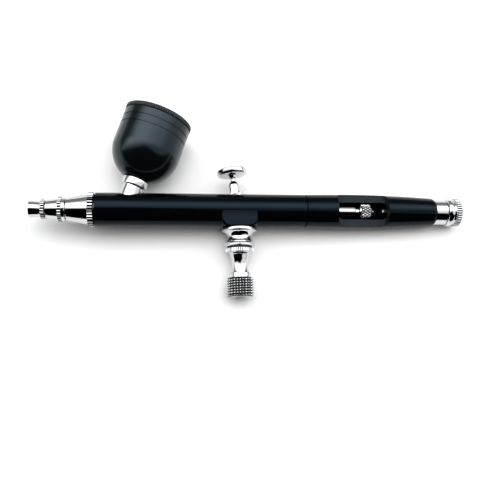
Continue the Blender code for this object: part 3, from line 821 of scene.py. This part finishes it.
def make_preset():
    low, high = KNOB
    rear = low + 3.6
    tip = STOP_TIP
    rod = [(tip, 0), (tip, 0.95, 0.15), (tip + 0.4, STOP_R, 0.1), (rear, STOP_R), (rear, 0)]
    made = weighted(mesh_object("stop_pin", [spun(softened(rod, False), ALONG_X, 48)], STEEL))
    place(made, "preset_stop", "steel", "stop_rod")
    turns = np.linspace(0.0, math.pi, 15)
    bead = [(low + 1.2 - 1.15 * math.cos(t), 4.55 + 0.7 * math.sin(t), 0) for t in turns]
    body = [(rear + GAP, 0), (rear + GAP, STOP_BORE), (low, STOP_BORE), (low, 4.45, 0.05)] + bead
    body += [(low + 2.5, 4.35, 0.1), (high - 2.25, 4.5, 0.05), (high - 2.2, 4.7, 0), (high - 0.2, 4.7, 0),
             (high - 0.05, 4.5, 0.1), (high, 4.2, 0.1), (high, 3.0, 0.3), (high - 0.35, 2.6, 0.3),
             (high - 0.35, 0)]
    teeth = straight_knurl(high - 2.3, high, KNOB_R, 36, 0.3, ALONG_X, 0.6, 0.35, 4.2)
    made = weighted(mesh_object("preset_dial", [spun(softened(body, False), ALONG_X), teeth], CHROME))
    place(made, "preset_knob", "chrome", "preset_knob")


# ---------------------------------------------------------------- trigger and lever

def make_trigger():
    left = [(-1.8, 12.3), (-1.8, 11.5), (-1.4, 9.0), (-1.2, 6.0), (-1.2, 3.0), (-1.1, 0.0)]
    foot = [(x, z) for x, z, _ in arc((0.0, 0.0), 1.1, 200.0, 340.0, 12)]
    right = [(1.1, 0.6), (0.9, 3.0), (0.95, 6.0), (1.5, 9.0), (1.8, 11.5), (1.8, 12.3)]
    stem = mesh_object("trigger_post", [extruded(left + foot + right, 1.5, TRIGGER_FRAME)], CHROME)
    neck_top = PAD_BASE + 0.3
    shoulder = [(12.0, 0), (12.0, STEM_R, 0.2), (15.6, STEM_R, 0.8), (16.6, 1.4, 0.4), (17.0, 0.85, 0.4),
                (neck_top, 0.8, 0), (neck_top, 0)]
    turned = TRIGGER_FRAME @ Matrix.Rotation(0.02, 4, "Z")
    top = mesh_object("post_tool", [spun(softened(shoulder, False, parts=6), turned, 64)])
    cut(stem, [top], "UNION")
    slot = mesh_object("post_slot_tool", [box_mesh((-5.0, -0.95, 3.0), (5.0, 0.95, 9.4))])
    pivot = Matrix.Translation((0.0, 0.0, PIVOT_Z * MM))
    slot.matrix_world = pivot @ Matrix.Rotation(-TRIGGER_LEAN, 4, "Y")
    cut(stem, [slot])
    baked(stem, [top, slot])
    finish_shading(stem.data, 32.0)
    eased(stem, 0.12, 2, 40.0)
    place(weighted(stem), "trigger", "chrome", "trigger_stem")
    base = PAD_BASE
    crest = [(base + 3.1 - 0.9 * (r / 5.0) ** 2, r, 0) for r in np.linspace(5.0, 0.4, 14)]
    rim = [(base, PAD_R - 0.15, 0.95), (base + 1.7, PAD_R, 0.5), (base + 2.15, PAD_R - 0.45, 0.3)]
    pad = [(base + 0.45, 0), (base + 0.45, 1.05), (base - 0.9, 1.05), (base - 0.9, 1.5, 0.1),
           (base, 1.75, 0.15)] + rim + crest + [(base + 3.1, 0)]
    disc = spun(softened(pad, False, parts=6), TRIGGER_FRAME, 144)
    made = weighted(mesh_object("trigger_top", [disc], CHROME))
    place(made, "trigger", "chrome", "trigger_pad")


def make_lever():
    x, z = LEVER_PIVOT
    foot = [(px, pz) for px, pz, _ in arc((x, z), 0.62, 180.0, 360.0, 12)]
    back = [(3.5, -1.0), (2.7, 0.6), (3.6, 2.1), (3.75, 2.6), (3.5, 3.0), (2.1, 4.4), (2.2, 5.4), (2.9, 7.5),
            (2.7, 7.8)]
    front = [(2.2, 7.8), (1.25, 5.2), (1.2, 2.8), (2.0, -1.0)]
    lever = mesh_object("rocker", [extruded(foot + back + front, 1.5, ALONG_Z)], STEEL)
    slot = mesh_object("rocker_slot_tool", [box_mesh((x - 1.0, -0.95, -1.75), (x + 6.0, 0.95, 1.75))])
    cut(lever, [slot])
    baked(lever, [slot])
    finish_shading(lever.data, 32.0)
    eased(lever, 0.08, 2, 40.0)
    return place(weighted(lever), "lever", "steel", "auxiliary_lever")


# ---------------------------------------------------------------- air valve

def make_valve_body():
    top = VALVE_TOP
    waist = [(h, r, 0) for h, r, _ in arc((-10.0, 6.7), 2.45, 345.0, 210.0, 24)]
    outer = [(-4.9, 2.3), (-4.9, 2.9), (top, 2.9), (top, 6.2, 0.2), (top - 0.9, 6.2, 0.15)] + waist
    lower = [(VALVE_BOTTOM + 0.9, 5.35, 0.15), (VALVE_BOTTOM, 5.35, 0.2), (VALVE_BOTTOM, 3.2), (-11.4, 3.2),
             (-11.4, 1.5), (-10.6, 1.5), (-10.6, 2.3)]
    made = weighted(mesh_object("air_valve", [spun(softened(outer + lower), ALONG_Z)], CHROME))
    return place(made, "airbrush_body", "chrome", "valve_body")


def make_inlet_nipple():
    top = VALVE_BOTTOM - 0.5
    band = (-15.4, top)
    neck = [(-16.0, 3.75, 0.2), (-16.15, 3.4, 0.15), (-17.1, 3.25, 0), (-17.7, 3.1, 0), (-18.3, 2.97, 0),
            (-19.0, 2.87, 0), (-19.8, 2.82, 0), (-20.6, 2.83, 0), (-21.4, 2.9, 0), (-22.0, 2.99, 0),
            (-22.5, 3.1, 0.1), (-22.6, 3.87, 0.2), (-24.2, 3.87, 0.2)]
    outer = [(-12.9, 1.5), (-12.9, 2.9), (top, 2.9), (top, 4.6, 0.1), (band[0], 4.6, 0),
             (band[0] - 0.05, 4.4, 0.05), (-15.5, 4.2, 0.1), (-15.55, 3.9, 0.1)] + neck
    outer += [(-24.3, 4.1, 0), (THREAD[1] + 0.1, 4.1, 0), (THREAD[1], 3.9, 0.1)]
    inner = [(THREAD[1], 2.25, 0.15), (-14.6, 2.25), (-14.6, 1.5)]
    body = spun(softened(outer + inner), ALONG_Z)
    teeth = straight_knurl(band[0], band[1], 4.95, 48, 0.2, ALONG_Z, 0.5, 0.2, 4.2)
    low, high = THREAD[1] + 0.12, THREAD[0] + 0.25
    thread = screw_thread(low, high, THREAD_R, THREAD_PITCH, THREAD_DEPTH, 3.9, ALONG_Z)
    made = weighted(mesh_object("hose_thread", [body, teeth, thread], CHROME))
    return place(made, "airbrush_body", "chrome", "inlet_nipple")


# ---------------------------------------------------------------- pieces kept as they are

def repaint(finish, *names):
    for name in names:
        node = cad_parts[name]
        node.data.materials.clear()
        node.data.materials.append(finish)


make_barrel()
make_head()
make_nozzle()
make_nozzle_cap()
make_needle_cap()
make_cup_neck()
make_cup_bowl()
make_cup_lid()
make_needle()
make_needle_guide()
make_chuck_nut()
make_spring_case()
make_springs()
make_handle()
make_tail_sleeve()
make_preset()
make_trigger()
make_lever()
make_valve_body()
make_inlet_nipple()
repaint(BRASS, "packing_screw", "valve_plunger", "valve_poppet", "valve_screw")
repaint(PTFE, "needle_packing", "head_seal", "nozzle_seal", "cup_seal", "valve_packing")
repaint(RUBBER, "stop_seal", "inlet_seal", "poppet_seal")


# ---------------------------------------------------------------- surroundings

def math_node(tree, operation, first, second=None):
    node = tree.nodes.new("ShaderNodeMath")
    node.operation = operation
    for socket, value in zip(node.inputs, (first, second)):
        if value is None:
            continue
        if isinstance(value, (int, float)):
            socket.default_value = value
        else:
            tree.links.new(value, socket)
    return node.outputs[0]


def ramp(tree, value, start, end, low=0.0, high=1.0):
    """A smooth step from low to high as value goes from start to end."""
    node = tree.nodes.new("ShaderNodeMapRange")
    node.interpolation_type = "SMOOTHSTEP"
    for key, number in (("From Min", start), ("From Max", end), ("To Min", low), ("To Max", high)):
        node.inputs[key].default_value = number
    tree.links.new(value, node.inputs["Value"])
    return node.outputs["Result"]


def make_world():
    """A white studio with a soft box above the front and a dark side below it.

    The angle below is in degrees, from 0 straight in front to 90 straight up. The dark
    side's upper edge bends down to the left and to the right.
    """
    world = bpy.data.worlds.new("studio")
    bpy.context.scene.world = world
    world.use_nodes = True
    tree = world.node_tree
    tree.nodes.clear()
    coords = tree.nodes.new("ShaderNodeTexCoord")
    parts = tree.nodes.new("ShaderNodeSeparateXYZ")
    tree.links.new(coords.outputs["Generated"], parts.inputs[0])
    x, y, z = parts.outputs
    front = math_node(tree, "MULTIPLY", y, -1.0)
    angle = math_node(tree, "MULTIPLY", math_node(tree, "ARCTAN2", z, front), 180.0 / math.pi)
    across = math_node(tree, "ABSOLUTE", x)
    box_low, box_high = ramp(tree, angle, -4.0, 27.0), ramp(tree, angle, 30.0, 60.0, 1.0, 0.0)
    box_light = math_node(tree, "MULTIPLY", box_low, box_high)
    box_light = math_node(tree, "MULTIPLY", box_light, ramp(tree, across, 0.72, 0.98, 1.0, 0.3))
    box_light = math_node(tree, "MULTIPLY", box_light, BOX_STRENGTH)
    off = math_node(tree, "ADD", x, 0.05)
    left = math_node(tree, "MINIMUM", off, 0.0)
    right = math_node(tree, "MAXIMUM", off, 0.0)
    fall = math_node(tree, "MULTIPLY", left, 13.0)
    squared = math_node(tree, "MULTIPLY", right, right)
    bend = math_node(tree, "DIVIDE", squared, math_node(tree, "ADD", right, 0.08))
    slope = math_node(tree, "ADD", fall, math_node(tree, "MULTIPLY", bend, -48.0))
    edge = math_node(tree, "ADD", slope, 3.0)
    below = math_node(tree, "SUBTRACT", angle, edge)
    lit = ramp(tree, below, -5.0, 3.0)
    overhead = ramp(tree, angle, 35.0, 70.0, 1.0, 0.26)
    behind = ramp(tree, angle, 92.0, 110.0, 0.0, 0.74)
    base = math_node(tree, "MULTIPLY", lit, math_node(tree, "ADD", overhead, behind))
    low_back = ramp(tree, angle, -108.0, -92.0, 0.9, 0.0)
    total = math_node(tree, "ADD", math_node(tree, "ADD", base, low_back), box_light)
    background = tree.nodes.new("ShaderNodeBackground")
    tone = tree.nodes.new("ShaderNodeMix")
    tone.data_type = "RGBA"
    tone.inputs[6].default_value = (0.62, 0.40, 0.34, 1.0)
    tone.inputs[7].default_value = (0.985, 0.99, 1.0, 1.0)
    tree.links.new(math_node(tree, "MAXIMUM", lit, low_back), tone.inputs[0])
    tree.links.new(tone.outputs[2], background.inputs["Color"])
    tree.links.new(total, background.inputs["Strength"])
    plain = tree.nodes.new("ShaderNodeBackground")
    plain.inputs["Color"].default_value = (1.0, 1.0, 0.985, 1.0)
    plain.inputs["Strength"].default_value = 1.0
    seen = tree.nodes.new("ShaderNodeLightPath")
    mix = tree.nodes.new("ShaderNodeMixShader")
    output = tree.nodes.new("ShaderNodeOutputWorld")
    tree.links.new(seen.outputs["Is Camera Ray"], mix.inputs[0])
    tree.links.new(background.outputs[0], mix.inputs[1])
    tree.links.new(plain.outputs[0], mix.inputs[2])
    tree.links.new(mix.outputs[0], output.inputs[0])


def make_table():
    """The white sheet that the airbrush lies on, seen from its upper side only."""
    reach = TABLE_REACH
    corners = [(-reach, -TABLE_NEAR), (reach, -TABLE_NEAR), (reach, reach), (-reach, reach)]
    verts = [Vector((x, TABLE_Y + TABLE_RISE_X * x + TABLE_RISE_Z * z, z)) for x, z in corners]
    mesh = bpy.data.meshes.new("table")
    mesh.from_pydata([tuple(v * MM) for v in verts], [], [(0, 1, 2, 3)])
    made = bpy.data.objects.new("table", mesh)
    bpy.context.scene.collection.objects.link(made)
    paper, tree, shader = new_material("white_paper", (0.66, 0.66, 0.655), 0.0, 0.7)
    clear = tree.nodes.new("ShaderNodeBsdfTransparent")
    back = tree.nodes.new("ShaderNodeNewGeometry")
    mix = tree.nodes.new("ShaderNodeMixShader")
    tree.links.new(back.outputs["Backfacing"], mix.inputs[0])
    tree.links.new(shader.outputs[0], mix.inputs[1])
    tree.links.new(clear.outputs[0], mix.inputs[2])
    tree.links.new(mix.outputs[0], tree.nodes["Material Output"].inputs["Surface"])
    mesh.materials.append(paper)


def make_key_light():
    """A soft light straight in front, for the shadow that stays close under the barrel."""
    sun = bpy.data.lights.new("key", "SUN")
    sun.energy = KEY_STRENGTH
    sun.angle = KEY_ANGLE
    made = bpy.data.objects.new("key", sun)
    made.rotation_euler = (math.radians(90.0), 0.0, 0.0)
    made.visible_glossy = False
    bpy.context.scene.collection.objects.link(made)


def make_camera():
    lens = bpy.data.cameras.new("camera")
    lens.sensor_width = 36.0
    lens.lens = CAMERA_LENS
    lens.clip_start = 0.001
    lens.clip_end = 20.0
    made = bpy.data.objects.new("camera", lens)
    made.location = CAMERA_PLACE
    made.rotation_euler = CAMERA_TURN
    bpy.context.scene.collection.objects.link(made)
    bpy.context.scene.camera = made


make_world()
make_table()
make_key_light()
make_camera()
bpy.context.scene.view_settings.view_transform = "Standard"
